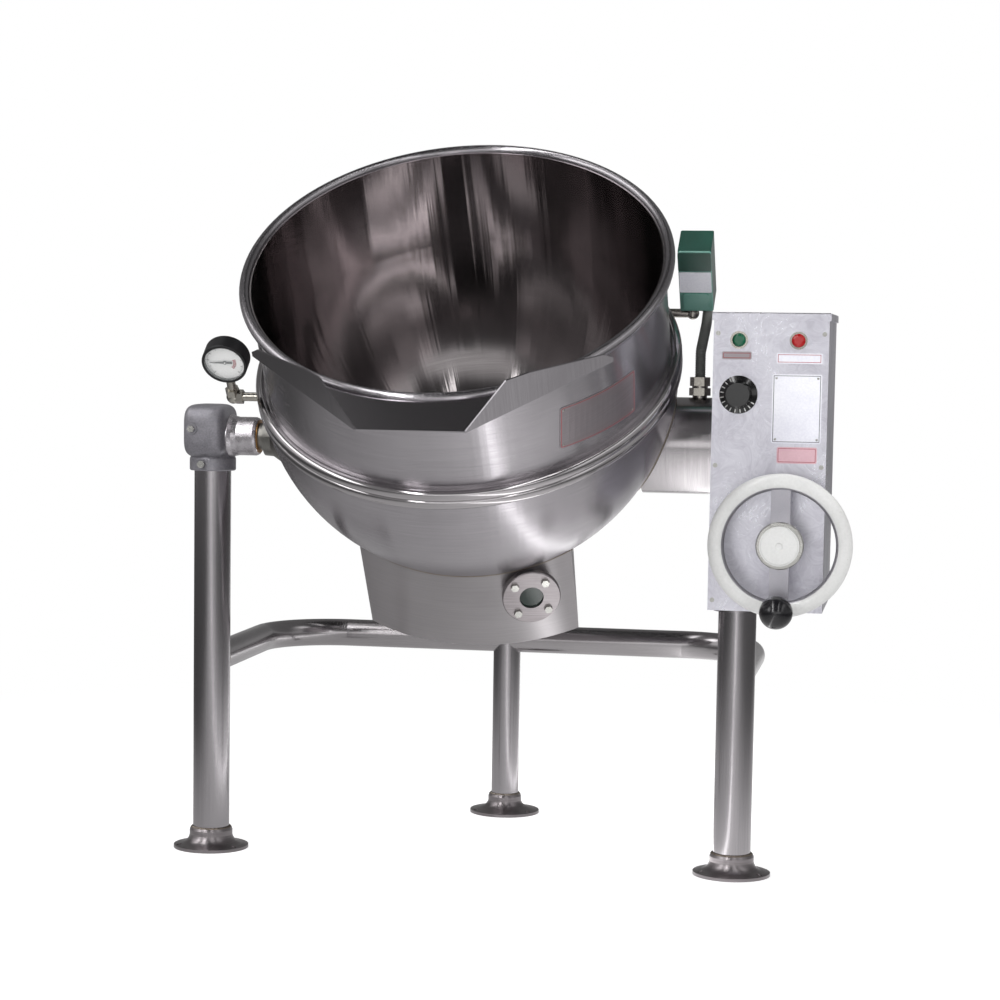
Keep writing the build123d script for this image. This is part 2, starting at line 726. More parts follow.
green_lamp = lamp_lens(GREEN_LAMP_OUT)
green_lamp.part.label = "green_lamp"
export_step(green_lamp.part, "parts/green_lamp.step")

red_lamp = lamp_lens(RED_LAMP_OUT)
red_lamp.part.label = "red_lamp"
export_step(red_lamp.part, "parts/red_lamp.step")

# Each lamp body fills its hole, nutted behind the panel, with a bezel ring round the lens.
with BuildPart() as lamp_bodies:
    for out in (GREEN_LAMP_OUT, RED_LAMP_OUT):
        rod(to_the_front(out, PANEL_FACE, LAMP_HEIGHT), LAMP_STEM, -34)
        hexagon(to_the_front(out, PANEL_BACK + 4, LAMP_HEIGHT), LAMP_RADIUS + 2.5, 4)
        rod(to_the_front(out, PANEL_FACE, LAMP_HEIGHT), LAMP_RADIUS + 3, 2.5, LAMP_RADIUS)
lamp_bodies.part.label = "lamp_bodies"
export_step(lamp_bodies.part, "parts/lamp_bodies.step")

# Thermostat control behind the panel; its spindle comes out through the panel.
THERMOSTAT_DEPTH = 26
DIAL_GAP = 1
SPINDLE_REACH = 12

with BuildPart() as thermostat:
    block(to_the_front(DIAL_OUT, PANEL_BACK + THERMOSTAT_DEPTH, DIAL_HEIGHT), 42, 42, THERMOSTAT_DEPTH, 3)
    rod(to_the_front(DIAL_OUT, PANEL_BACK, DIAL_HEIGHT), DIAL_STEM, CONSOLE_SHEET + SPINDLE_REACH)
thermostat.part.label = "thermostat"
export_step(thermostat.part, "parts/thermostat.step")

with BuildPart() as dial_knob:
    with BuildSketch(facing(KETTLE_X + DIAL_OUT, KETTLE_Y + PANEL_FACE, DIAL_HEIGHT, (0, 0, -1))):
        with BuildLine():
            Polyline(
                (DIAL_STEM + RUNNING_GAP, DIAL_GAP),
                (DIAL_RADIUS, DIAL_GAP),
                (DIAL_RADIUS, DIAL_GAP + 3),
                (DIAL_RADIUS - 8, DIAL_GAP + 6),
                (DIAL_RADIUS - 9.5, DIAL_GAP + 19),
                (DIAL_RADIUS - 11, DIAL_GAP + 20.5),
                (0, DIAL_GAP + 20.5),
                (0, SPINDLE_REACH + 0.5),
                (DIAL_STEM + RUNNING_GAP, SPINDLE_REACH + 0.5),
                close=True,
            )
        make_face()
    revolve(axis=Axis((KETTLE_X + DIAL_OUT, KETTLE_Y, DIAL_HEIGHT), (0, 1, 0)))
dial_knob.part.label = "dial_knob"
export_step(dial_knob.part, "parts/dial_knob.step")

with BuildPart() as dial_cap:
    rod(to_the_front(DIAL_OUT, PANEL_FACE - DIAL_GAP - 20.5, DIAL_HEIGHT), DIAL_RADIUS - 14, 1.2)
dial_cap.part.label = "dial_cap"
export_step(dial_cap.part, "parts/dial_cap.step")

# Contactor and terminal block on the console's back wall.
BACK_INSIDE = CONSOLE_HALF_DEPTH - CONSOLE_SHEET
CONTACTOR_OUT = CONSOLE_LEFT + 50
TERMINALS_OUT = CONSOLE_LEFT + CONSOLE_WIDTH - 40

with BuildPart() as contactor:
    block(to_the_front(CONTACTOR_OUT, BACK_INSIDE, LAMP_HEIGHT - 18), 62, 76, 58, 3)
    with Locations(to_the_front(CONTACTOR_OUT, BACK_INSIDE - 58, LAMP_HEIGHT - 18)):
        with GridLocations(18, 56, 3, 2):
            Box(12, 10, 12)
contactor.part.label = "contactor"
export_step(contactor.part, "parts/contactor.step")

with BuildPart() as terminal_block:
    block(to_the_front(TERMINALS_OUT, BACK_INSIDE, LAMP_HEIGHT - 18), 60, 34, 22, 2)
    with Locations(to_the_front(TERMINALS_OUT, BACK_INSIDE - 22, LAMP_HEIGHT - 18)):
        with GridLocations(14, 16, 4, 2):
            CounterBoreHole(1.5, 4, 3, 8)
terminal_block.part.label = "terminal_block"
export_step(terminal_block.part, "parts/terminal_block.step")

# Cable gland in the back wall, the inlet for the supply.
with BuildPart() as cable_gland:
    rod(to_the_front(CONSOLE_MIDDLE, CONSOLE_HALF_DEPTH + 4, GLAND_HEIGHT), GLAND_RADIUS, 16, 7)
    hexagon(
        facing(KETTLE_X + CONSOLE_MIDDLE, KETTLE_Y + CONSOLE_HALF_DEPTH, GLAND_HEIGHT, (0, 1, 0)),
        GLAND_RADIUS + 5,
        8,
        7,
    )
    rod(
        facing(KETTLE_X + CONSOLE_MIDDLE, KETTLE_Y + CONSOLE_HALF_DEPTH + 8, GLAND_HEIGHT, (0, 1, 0)),
        GLAND_RADIUS,
        12,
        7,
    )
    fillet(cable_gland.edges().group_by(Axis.Y)[-1], 1.5)
cable_gland.part.label = "cable_gland"
export_step(cable_gland.part, "parts/cable_gland.step")

# Screws along both edges of the panel and in the cover.
with BuildPart() as console_screws:
    for out in (CONSOLE_LEFT + 7, CONSOLE_LEFT + CONSOLE_WIDTH - 7):
        for height in (CONSOLE_FLOOR + 16, (CONSOLE_FLOOR + CONSOLE_TOP) / 2, CONSOLE_TOP - 22):
            rod(to_the_front(out, PANEL_FACE, height), 3.5, 2)
console_screws.part.label = "console_screws"
export_step(console_screws.part, "parts/console_screws.step")

# ---------------------------------------------------------------- handwheel
WHEEL_BACK = WHEEL_PLANE + HUB_LENGTH / 2
KNOB_STEM_RADIUS = 5
KNOB_STEM = 18

with BuildPart() as handwheel:
    with BuildSketch(facing(GEAR_X, KETTLE_Y + WHEEL_PLANE, WORM_HEIGHT, (0, 0, 1))):
        with Locations((RIM_MEAN_RADIUS, 0)):
            Ellipse(RIM_HALF_WIDTH, RIM_HALF_DEPTH)
    revolve(axis=Axis((GEAR_X, KETTLE_Y + WHEEL_PLANE, WORM_HEIGHT), (0, 1, 0)))
    block(
        to_the_front(GEAR_OUT, WHEEL_PLANE + SPOKE_THICKNESS / 2, WORM_HEIGHT),
        SPOKE_WIDTH,
        2 * RIM_MEAN_RADIUS,
        SPOKE_THICKNESS,
    )
    rod(to_the_front(GEAR_OUT, WHEEL_BACK, WORM_HEIGHT), HUB_RADIUS, HUB_LENGTH)
    rod(
        to_the_front(GEAR_OUT, WHEEL_BACK + 1, WORM_HEIGHT),
        WORM_SHAFT_RADIUS,
        WHEEL_BACK + 1 - WHEEL_PLANE + 4,
        mode=Mode.SUBTRACT,
    )
handwheel.part.label = "handwheel"
export_step(handwheel.part, "parts/handwheel.step")

# The grip turns on a headed spindle screwed into the rim.
KNOB_HEIGHT = WORM_HEIGHT - RIM_MEAN_RADIUS
KNOB_BACK = WHEEL_PLANE - RIM_HALF_DEPTH - 3

with BuildPart() as knob_spindle:
    rod(to_the_front(GEAR_OUT, WHEEL_PLANE - RIM_HALF_DEPTH, KNOB_HEIGHT), 8, 3)
    rod(
        to_the_front(GEAR_OUT, KNOB_BACK, KNOB_HEIGHT),
        KNOB_STEM_RADIUS,
        KNOB_STEM + KNOB_RADIUS,
    )
knob_spindle.part.label = "knob_spindle"
export_step(knob_spindle.part, "parts/knob_spindle.step")

with BuildPart() as grip_knob:
    rod(to_the_front(GEAR_OUT, KNOB_BACK - 0.5, KNOB_HEIGHT), 10, KNOB_STEM)
    with Locations(to_the_front(GEAR_OUT, KNOB_BACK - KNOB_STEM - KNOB_RADIUS + 6, KNOB_HEIGHT)):
        Sphere(KNOB_RADIUS)
    rod(
        to_the_front(GEAR_OUT, KNOB_BACK + 1, KNOB_HEIGHT),
        KNOB_STEM_RADIUS + RUNNING_GAP,
        KNOB_STEM + KNOB_RADIUS + 2,
        mode=Mode.SUBTRACT,
    )
grip_knob.part.label = "grip_knob"
export_step(grip_knob.part, "parts/grip_knob.step")

# ---------------------------------------------------------------- kettle: vessel and jacket
with BuildPart() as vessel:
    with BuildSketch(KETTLE_FRONT):
        with BuildLine():
            inner = VESSEL_RADIUS - VESSEL_WALL
            bowl_arc(VESSEL_RADIUS, VESSEL_SEAM)
            Polyline(
                (VESSEL_RADIUS, VESSEL_SEAM),
                (VESSEL_RADIUS, RIM_TOP - RIM_BEAD),
                (inner, RIM_TOP - RIM_BEAD),
                (inner, VESSEL_SEAM),
            )
            bowl_arc(inner, VESSEL_SEAM)
            Line((0, VESSEL_SEAM - inner), (0, VESSEL_SEAM - VESSEL_RADIUS))
        make_face()
        with Locations((RIM_RADIUS - RIM_BEAD, RIM_TOP - RIM_BEAD)):
            Circle(RIM_BEAD)
    revolve(axis=KETTLE_AXIS)
vessel.part.label = "vessel"
export_step(vessel.part, "parts/vessel.step")

ELEMENT_BOSS_RADIUS = 62

with BuildPart() as jacket:
    with BuildSketch(KETTLE_FRONT):
        with BuildLine():
            inner = JACKET_RADIUS - JACKET_WALL
            bowl_arc(JACKET_RADIUS, JACKET_CENTRE)
            Line((JACKET_RADIUS, JACKET_CENTRE), (inner, JACKET_CENTRE))
            bowl_arc(inner, JACKET_CENTRE)
            Line((0, JACKET_CENTRE - inner), (0, JACKET_CENTRE - JACKET_RADIUS))
        make_face()
    revolve(axis=KETTLE_AXIS)
    rod(
        on_kettle((0, 0, JACKET_CENTRE - JACKET_RADIUS - 5)),
        ELEMENT_BOSS_RADIUS,
        40,
        mode=Mode.SUBTRACT,
    )
jacket.part.label = "jacket"
export_step(jacket.part, "parts/jacket.step")

# Closing ring: a double bead that joins the jacket's edge to the vessel's wall.
RING_WAIST = (RING_TOP + RING_BOTTOM) / 2

with BuildPart() as jacket_ring:
    with BuildSketch(KETTLE_FRONT):
        with BuildLine():
            Line((VESSEL_RADIUS, JACKET_CENTRE), (VESSEL_RADIUS, RING_TOP))
            Line((VESSEL_RADIUS, RING_TOP), (VESSEL_RADIUS + 3, RING_TOP))
            ThreePointArc(
                (VESSEL_RADIUS + 3, RING_TOP),
                (JACKET_RADIUS + RING_BULGE, RING_WAIST + 9),
                (JACKET_RADIUS + 2, RING_WAIST),
            )
            ThreePointArc(
                (JACKET_RADIUS + 2, RING_WAIST),
                (JACKET_RADIUS + RING_BULGE, RING_WAIST - 8),
                (jacket_reach(RING_BOTTOM), RING_BOTTOM),
            )
            ThreePointArc(
                (jacket_reach(RING_BOTTOM), RING_BOTTOM),
                (jacket_reach((RING_BOTTOM + JACKET_CENTRE) / 2), (RING_BOTTOM + JACKET_CENTRE) / 2),
                (JACKET_RADIUS, JACKET_CENTRE),
            )
            Line((JACKET_RADIUS, JACKET_CENTRE), (VESSEL_RADIUS, JACKET_CENTRE))
        make_face()
    revolve(axis=KETTLE_AXIS)
jacket_ring.part.label = "jacket_ring"
export_step(jacket_ring.part, "parts/jacket_ring.step")

# ---------------------------------------------------------------- kettle: pouring lip
# A floor welded under the rim's bead, with an upstand folded along each side.
LIP_FLOOR = RIM_TOP - RIM_BEAD
LIP_LENGTH = hypot(LIP_TIP_HALF - LIP_FRONT_HALF, LIP_FRONT_OUT - LIP_TIP_OUT)
LIP_ALONG = ((LIP_TIP_HALF - LIP_FRONT_HALF) / LIP_LENGTH, (LIP_FRONT_OUT - LIP_TIP_OUT) / LIP_LENGTH)

with BuildPart() as pouring_lip:
    with BuildSketch(KETTLE.offset(LIP_FLOOR - LIP_SHEET / 2)):
        with BuildLine():
            Polyline(
                (-LIP_FRONT_HALF, -LIP_FRONT_OUT),
                (LIP_FRONT_HALF, -LIP_FRONT_OUT),
                (LIP_TIP_HALF, -LIP_TIP_OUT),
                (-LIP_TIP_HALF, -LIP_TIP_OUT),
                close=True,
            )
        make_face()
        Circle(RIM_RADIUS, mode=Mode.SUBTRACT)
    extrude(amount=LIP_SHEET)
    wing_plane = on_kettle(
        (LIP_FRONT_HALF, -LIP_FRONT_OUT, LIP_FLOOR - LIP_SHEET / 2),
        (LIP_ALONG[1], -LIP_ALONG[0], 0),
        (LIP_ALONG[0], LIP_ALONG[1], 0),
    )
    with BuildSketch(wing_plane) as wing:
        with BuildLine():
            Polyline(
                (0, 0),
                (LIP_LENGTH, 0),
                (LIP_LENGTH, LIP_TIP_RISE),
                (LIP_LENGTH - 16, LIP_TIP_RISE + 12),
                (LIP_WING_SETBACK + 38, LIP_WING_RISE - 5),
                (LIP_WING_SETBACK, LIP_WING_RISE),
                (0, LIP_SHEET),
                close=True,
            )
        make_face()
        fillet(wing.vertices().sort_by(Axis(KETTLE.origin, KETTLE.y_dir))[-3:], 3)
    extrude(amount=-LIP_SHEET)
    mirror(about=KETTLE_SIDE)
pouring_lip.part.label = "pouring_lip"
export_step(pouring_lip.part, "parts/pouring_lip.step")

# ---------------------------------------------------------------- kettle: trunnions
LEFT_PAD_OUT = JACKET_RADIUS + 22
LEFT_PAD_DEPTH = 100
TUBE_INSET = 60
LEFT_PAD_RADIUS = 46
SPINDLE_LEFT = BUSH_LEFT - 3
TUBE_RIGHT = CONSOLE_LEFT + 15
SHAFT_RIGHT = GEAR_OUT + GEARBOX_HALF_WIDTH + 8
END_PLATE = 10

# Turned spindle welded to the jacket through a coned pad.
with BuildPart() as left_trunnion:
    with BuildSketch(facing(KETTLE_X, KETTLE_Y, TRUNNION_HEIGHT, (0, -1, 0))):
        Polygon(
            (-SPINDLE_LEFT, 0),
            (-SPINDLE_LEFT, SPINDLE_RADIUS - 1.5),
            (-SPINDLE_LEFT + 1.5, SPINDLE_RADIUS),
            (-LEFT_PAD_OUT, SPINDLE_RADIUS),
            (-LEFT_PAD_OUT, NOSE_RADIUS),
            (-LEFT_PAD_OUT + 14, NOSE_RADIUS + 1),
            (-LEFT_PAD_OUT + 26, LEFT_PAD_RADIUS - 6),
            (-LEFT_PAD_OUT + LEFT_PAD_DEPTH, LEFT_PAD_RADIUS + 4),
            (-LEFT_PAD_OUT + LEFT_PAD_DEPTH, 0),
            align=None,
        )
    revolve(axis=TRUNNION_AXIS)
    cut_by_bowl()
left_trunnion.part.label = "left_trunnion"
export_step(left_trunnion.part, "parts/left_trunnion.step")

with BuildPart() as trunnion_tube:
    rod(
        to_the_right(JACKET_RADIUS - TUBE_INSET),
        TRUNNION_TUBE_RADIUS,
        TUBE_RIGHT - JACKET_RADIUS + TUBE_INSET,
        TRUNNION_TUBE_RADIUS - TRUNNION_TUBE_WALL,
    )
    cut_by_bowl()
trunnion_tube.part.label = "trunnion_tube"
export_step(trunnion_tube.part, "parts/trunnion_tube.step")

with BuildPart() as gear_shaft:
    rod(to_the_right(TUBE_RIGHT - END_PLATE), TRUNNION_TUBE_RADIUS - TRUNNION_TUBE_WALL, END_PLATE)
    rod(to_the_right(TUBE_RIGHT), GEAR_SHAFT_RADIUS, SHAFT_RIGHT - TUBE_RIGHT)
    chamfer(gear_shaft.edges().group_by(Axis.X)[-1], 1.5)
gear_shaft.part.label = "gear_shaft"
export_step(gear_shaft.part, "parts/gear_shaft.step")

# ---------------------------------------------------------------- kettle: heater housing
HOUSING_BULGE = HOUSING_ARC_RADIUS - sqrt(HOUSING_ARC_RADIUS**2 - HOUSING_HALF_WIDTH**2)

# The sight glass looks out of the housing's front, turned a little to the right and upward.
SIGHT_SET_BACK = HOUSING_ARC_RADIUS - sqrt(HOUSING_ARC_RADIUS**2 - SIGHT_OUT**2)
SIGHT_BACK = HOUSING_CORNER_OUT + HOUSING_BULGE - SIGHT_SET_BACK
SIGHT_TURN = 16
SIGHT_RISE = 10
SIGHT_NORMAL = (
    sin(radians(SIGHT_TURN)) * cos(radians(SIGHT_RISE)),
    -cos(radians(SIGHT_TURN)) * cos(radians(SIGHT_RISE)),
    sin(radians(SIGHT_RISE)),
)
SIGHT_PLANE = on_kettle(
    (SIGHT_OUT, -SIGHT_BACK, SIGHT_BOTTOM),
    SIGHT_NORMAL,
    (SIGHT_NORMAL[1], -SIGHT_NORMAL[0], 0),
)
SIGHT_BOSS_RADIUS = SIGHT_RADIUS - 9
SIGHT_STANDOFF = 16
SIGHT_BOSS_DEPTH = 70
SIGHT_PORT_DEPTH = 30
SIGHT_LEDGE = 3
FLANGE_THICKNESS = 11

with BuildPart() as heater_housing:
    with BuildSketch(KETTLE.offset(HOUSING_BOTTOM)) as footprint:
        with BuildLine():
            for way in (-1, 1):
                ThreePointArc(
                    (-HOUSING_HALF_WIDTH, way * HOUSING_CORNER_OUT),
                    (0, way * (HOUSING_CORNER_OUT + HOUSING_BULGE)),
                    (HOUSING_HALF_WIDTH, way * HOUSING_CORNER_OUT),
                )
                Line(
                    (way * HOUSING_HALF_WIDTH, -HOUSING_CORNER_OUT),
                    (way * HOUSING_HALF_WIDTH, HOUSING_CORNER_OUT),
                )
        make_face()
    with BuildSketch(KETTLE.offset(HOUSING_BOTTOM)) as walls:
        add(footprint.sketch_local)
        offset(footprint.sketch_local, amount=-HOUSING_SHEET, kind=Kind.INTERSECTION, mode=Mode.SUBTRACT)
    extrude(walls.sketch, amount=JACKET_CENTRE - HOUSING_BOTTOM)
    cut_by_bowl()
    split(bisect_by=KETTLE.offset(0), keep=Keep.BOTTOM)
    rod(SIGHT_PLANE.offset(-SIGHT_PORT_DEPTH), SIGHT_BOSS_RADIUS, 2 * SIGHT_PORT_DEPTH, mode=Mode.SUBTRACT)
heater_housing.part.label = "heater_housing"
export_step(heater_housing.part, "parts/heater_housing.step")

# Flat cover over the bottom of the housing, with its screws round the edge.
with BuildPart() as housing_cover:
    with BuildSketch(KETTLE.offset(HOUSING_BOTTOM)):
        add(footprint.sketch_local)
    extrude(amount=-COVER_SHEET)
housing_cover.part.label = "housing_cover"
export_step(housing_cover.part, "parts/housing_cover.step")

COVER_SCREW_X = HOUSING_HALF_WIDTH - 12
COVER_SCREW_Y = HOUSING_CORNER_OUT - 10
with BuildPart() as cover_screws:
    with BuildSketch(KETTLE.offset(HOUSING_BOTTOM - COVER_SHEET)) as heads:
        with GridLocations(2 * COVER_SCREW_X, COVER_SCREW_Y, 2, 3):
            Circle(4)
    extrude(heads.sketch, amount=-2.5)
cover_screws.part.label = "cover_screws"
export_step(cover_screws.part, "parts/cover_screws.step")

# Three hairpin elements stand on a boss in the bottom of the jacket, in the water space.
BOSS_TOP = JACKET_CENTRE - JACKET_RADIUS + 12
BOSS_BOTTOM = JACKET_CENTRE - JACKET_RADIUS - 14
ELEMENT_RADIUS = 4
ELEMENT_LEVEL = -150
ELEMENT_REACH = 92
ELEMENT_FOOT = 26
ELEMENT_BEND = 9

with BuildPart() as element_boss:
    rod(on_kettle((0, 0, BOSS_BOTTOM)), ELEMENT_BOSS_RADIUS, BOSS_TOP - BOSS_BOTTOM)
    rod(on_kettle((0, 0, BOSS_BOTTOM)), ELEMENT_BOSS_RADIUS + 12, -12)
    with Locations(on_kettle((0, 0, BOSS_BOTTOM - 12))):
        with PolarLocations(ELEMENT_BOSS_RADIUS + 4, 6):
            Cylinder(5, 5, align=(Align.CENTER, Align.CENTER, Align.MAX))
        with PolarLocations(ELEMENT_FOOT, 6):
            Cylinder(3, 16, align=(Align.CENTER, Align.CENTER, Align.MAX))
element_boss.part.label = "element_boss"
export_step(element_boss.part, "parts/element_boss.step")


def polar(radius, angle, height):
    """Point of the kettle's frame from a radius and an angle in degrees."""
    return (radius * cos(radians(angle)), radius * sin(radians(angle)), height)


with BuildPart() as heating_elements:
    for turn in (90, 210, 330):
        route = [
            polar(ELEMENT_FOOT, turn - 28, BOSS_TOP),
            polar(ELEMENT_FOOT, turn - 28, ELEMENT_LEVEL),
            polar(ELEMENT_REACH, turn - 46, ELEMENT_LEVEL),
            polar(ELEMENT_REACH, turn - 16, ELEMENT_LEVEL),
            polar(ELEMENT_REACH, turn + 16, ELEMENT_LEVEL),
            polar(ELEMENT_REACH, turn + 46, ELEMENT_LEVEL),
            polar(ELEMENT_FOOT, turn + 28, ELEMENT_LEVEL),
            polar(ELEMENT_FOOT, turn + 28, BOSS_TOP),
        ]
        with BuildLine(KETTLE) as hairpin:
            FilletPolyline(*route, radius=ELEMENT_BEND)
        with BuildSketch(Plane(origin=hairpin.line @ 0, z_dir=hairpin.line % 0)) as section:
            Circle(ELEMENT_RADIUS)
        sweep(section.sketch, path=hairpin.line)
heating_elements.part.label = "heating_elements"
export_step(heating_elements.part, "parts/heating_elements.step")

# Sight glass: boss through the housing's front, flange ring, window and four bolts.
with BuildPart() as sight_boss:
    rod(
        SIGHT_PLANE.offset(-SIGHT_BOSS_DEPTH),
        SIGHT_BOSS_RADIUS,
        SIGHT_BOSS_DEPTH + SIGHT_STANDOFF,
        SIGHT_GLASS_RADIUS - SIGHT_LEDGE,
    )
    cut_by_bowl()
sight_boss.part.label = "sight_boss"
export_step(sight_boss.part, "parts/sight_boss.step")

with BuildPart() as sight_flange:
    rod(SIGHT_PLANE.offset(SIGHT_STANDOFF), SIGHT_RADIUS, FLANGE_THICKNESS, SIGHT_GLASS_RADIUS)
    chamfer(sight_flange.edges().filter_by(GeomType.CIRCLE).sort_by(SortBy.RADIUS)[-2:], 1.5)
sight_flange.part.label = "sight_flange"
export_step(sight_flange.part, "parts/sight_flange.step")

with BuildPart() as sight_window:
    rod(SIGHT_PLANE.offset(SIGHT_STANDOFF), SIGHT_GLASS_RADIUS, 7)
sight_window.part.label = "sight_window"
export_step(sight_window.part, "parts/sight_window.step")

with BuildPart() as sight_bolts:
    for turn in (45, 135, 225, 315):
        spot = SIGHT_PLANE.offset(SIGHT_STANDOFF + FLANGE_THICKNESS)
        place = spot.from_local_coords(Vector(34 * cos(radians(turn)), 34 * sin(radians(turn)), 0))
        hexagon(Plane(origin=place, x_dir=spot.x_dir, z_dir=spot.z_dir), 6.5, 5)
sight_bolts.part.label = "sight_bolts"
export_step(sight_bolts.part, "parts/sight_bolts.step")

# ---------------------------------------------------------------- kettle: pressure gauge
TAP_LEFT = on_kettle((GAUGE_X, GAUGE_Y, STEAM_TAP_HEIGHT), (1, 0, 0), (0, 1, 0))
CASE_BOTTOM = GAUGE_Z - GAUGE_RADIUS
DIAL_BACK = 8


def welded_to_ring(plane, radius, length):
    """Pipe along a plane's normal, ending on the outside of the closing ring."""
    with BuildPart(mode=Mode.PRIVATE) as pipe:
        rod(plane, radius, length)
        add(jacket_ring.part, mode=Mode.SUBTRACT)
        with Locations(on_kettle((0, 0, STEAM_TAP_HEIGHT))):
            Cylinder(JACKET_RADIUS, 60, mode=Mode.SUBTRACT)
    return pipe.part


with BuildPart() as gauge_pipe:
    add(welded_to_ring(TAP_LEFT, PIPE_RADIUS, -GAUGE_X - 280))
    with Locations(on_kettle((GAUGE_X, GAUGE_Y, STEAM_TAP_HEIGHT))):
        Sphere(PIPE_RADIUS + 4.5)
    hexagon(TAP_LEFT.offset(4), PIPE_RADIUS + 4.5, 12)
    hexagon(on_kettle((GAUGE_X, GAUGE_Y, STEAM_TAP_HEIGHT + 4)), PIPE_RADIUS + 4.5, 12)
    rod(on_kettle((GAUGE_X, GAUGE_Y, STEAM_TAP_HEIGHT)), PIPE_RADIUS, CASE_BOTTOM - STEAM_TAP_HEIGHT + 6)
    rod(
        on_kettle((GAUGE_X, GAUGE_Y + GAUGE_DEPTH, GAUGE_Z), (0, -1, 0)),
        GAUGE_RADIUS,
        2 * GAUGE_DEPTH,
        mode=Mode.SUBTRACT,
    )
gauge_pipe.part.label = "gauge_pipe"
export_step(gauge_pipe.part, "parts/gauge_pipe.step")

GAUGE_PLANE = on_kettle((GAUGE_X, GAUGE_Y - GAUGE_DEPTH / 2, GAUGE_Z), (0, -1, 0))
POINTER_PIN = 1.2

with BuildPart() as gauge_case:
    rod(GAUGE_PLANE.offset(-GAUGE_DEPTH), GAUGE_RADIUS, GAUGE_DEPTH)
    fillet(gauge_case.edges().filter_by(GeomType.CIRCLE), 2)
    rod(GAUGE_PLANE.offset(-DIAL_BACK), GAUGE_FACE_RADIUS, DIAL_BACK + 1, mode=Mode.SUBTRACT)
gauge_case.part.label = "gauge_case"
export_step(gauge_case.part, "parts/gauge_case.step")

with BuildPart() as gauge_dial:
    rod(GAUGE_PLANE.offset(-DIAL_BACK), GAUGE_FACE_RADIUS, 1)
    rod(GAUGE_PLANE.offset(1 - DIAL_BACK), POINTER_PIN, 3.2)
gauge_dial.part.label = "gauge_dial"
export_step(gauge_dial.part, "parts/gauge_dial.step")

with BuildPart() as gauge_pointer:
    with BuildSketch(GAUGE_PLANE.offset(2.5 - DIAL_BACK)) as pointer:
        Polygon((-26, 0), (-8, 1.3), (12, 1.8), (12, -1.8), (-8, -1.3), align=None)
        Circle(3.2)
        Circle(POINTER_PIN + RUNNING_GAP, mode=Mode.SUBTRACT)
    extrude(pointer.sketch, amount=1)
gauge_pointer.part.label = "gauge_pointer"
export_step(gauge_pointer.part, "parts/gauge_pointer.step")

with BuildPart() as gauge_lens:
    rod(GAUGE_PLANE.offset(-2.6), GAUGE_FACE_RADIUS, 1.6)
gauge_lens.part.label = "gauge_lens"
export_step(gauge_lens.part, "parts/gauge_lens.step")

# ---------------------------------------------------------------- kettle: pressure switch
SWITCH_X = SWITCH_LEFT + SWITCH_WIDTH / 2
SWITCH_Y = SWITCH_FRONT + SWITCH_DEPTH / 2
SWITCH_PIPE_Y = SWITCH_FRONT + 14
SWITCH_COVER = 4

with BuildPart() as switch_case:
    block(on_kettle((SWITCH_X, SWITCH_Y, SWITCH_BOTTOM)), SWITCH_WIDTH, SWITCH_DEPTH, SWITCH_HEIGHT, 3)
    block(
        on_kettle((SWITCH_X, SWITCH_FRONT + SWITCH_COVER, SWITCH_BOTTOM + SWITCH_HEIGHT / 2), (0, -1, 0)),
        SWITCH_WIDTH + 2,
        SWITCH_HEIGHT + 2,
        SWITCH_COVER + 2,
        mode=Mode.SUBTRACT,
    )
switch_case.part.label = "switch_case"
export_step(switch_case.part, "parts/switch_case.step")

with BuildPart() as switch_cover:
    block(
        on_kettle((SWITCH_X, SWITCH_FRONT + SWITCH_COVER, SWITCH_BOTTOM + SWITCH_HEIGHT / 2), (0, -1, 0)),
        SWITCH_WIDTH,
        SWITCH_HEIGHT,
        SWITCH_COVER,
        3,
    )
    chamfer(switch_cover.faces().sort_by(Axis(KETTLE.origin, KETTLE.y_dir))[0].edges(), 1)
switch_cover.part.label = "switch_cover"
export_step(switch_cover.part, "parts/switch_cover.step")

PIPE_BEND = on_kettle((SWITCH_X - 8, SWITCH_PIPE_Y, STEAM_TAP_HEIGHT), (-1, 0, 0), (0, 1, 0))

with BuildPart() as switch_pipe:
    add(welded_to_ring(PIPE_BEND, PIPE_RADIUS, 80))
    with Locations(PIPE_BEND):
        Sphere(PIPE_RADIUS + 3)
    rod(
        on_kettle((SWITCH_X - 8, SWITCH_PIPE_Y, STEAM_TAP_HEIGHT)),
        PIPE_RADIUS,
        SWITCH_BOTTOM - STEAM_TAP_HEIGHT,
    )
switch_pipe.part.label = "switch_pipe"
export_step(switch_pipe.part, "parts/switch_pipe.step")

# Flexible conduit, held by a hexagonal connector on the tube and a bush under the switch.
CONNECTOR_HEX = 17
CONNECTOR_HEIGHT = 32
CONNECTOR_LEAN = (0, sin(TILT), cos(TILT))
CONNECTOR_BASE = (
    CONNECTOR_OUT,
    (TRUNNION_TUBE_RADIUS - 5) * sin(TILT),
    (TRUNNION_TUBE_RADIUS - 5) * cos(TILT),
)
CONDUIT_X = SWITCH_LEFT + SWITCH_WIDTH - 12
CONDUIT_Y = SWITCH_FRONT + 32

with BuildPart() as conduit_connector:
    seat = on_kettle(CONNECTOR_BASE, CONNECTOR_LEAN)
    rod(seat, CONDUIT_RADIUS + 3, 12)
    hexagon(seat.offset(8), CONNECTOR_HEX, 12)
    rod(seat.offset(20), CONDUIT_RADIUS + 4, 3)
    hexagon(seat.offset(23), CONNECTOR_HEX - 1, CONNECTOR_HEIGHT - 18)
    add(trunnion_tube.part, mode=Mode.SUBTRACT)
    rod(to_the_right(CONNECTOR_OUT - 30), TRUNNION_TUBE_RADIUS - TRUNNION_TUBE_WALL, 60, mode=Mode.SUBTRACT)
conduit_connector.part.label = "conduit_connector"
export_step(conduit_connector.part, "parts/conduit_connector.step")

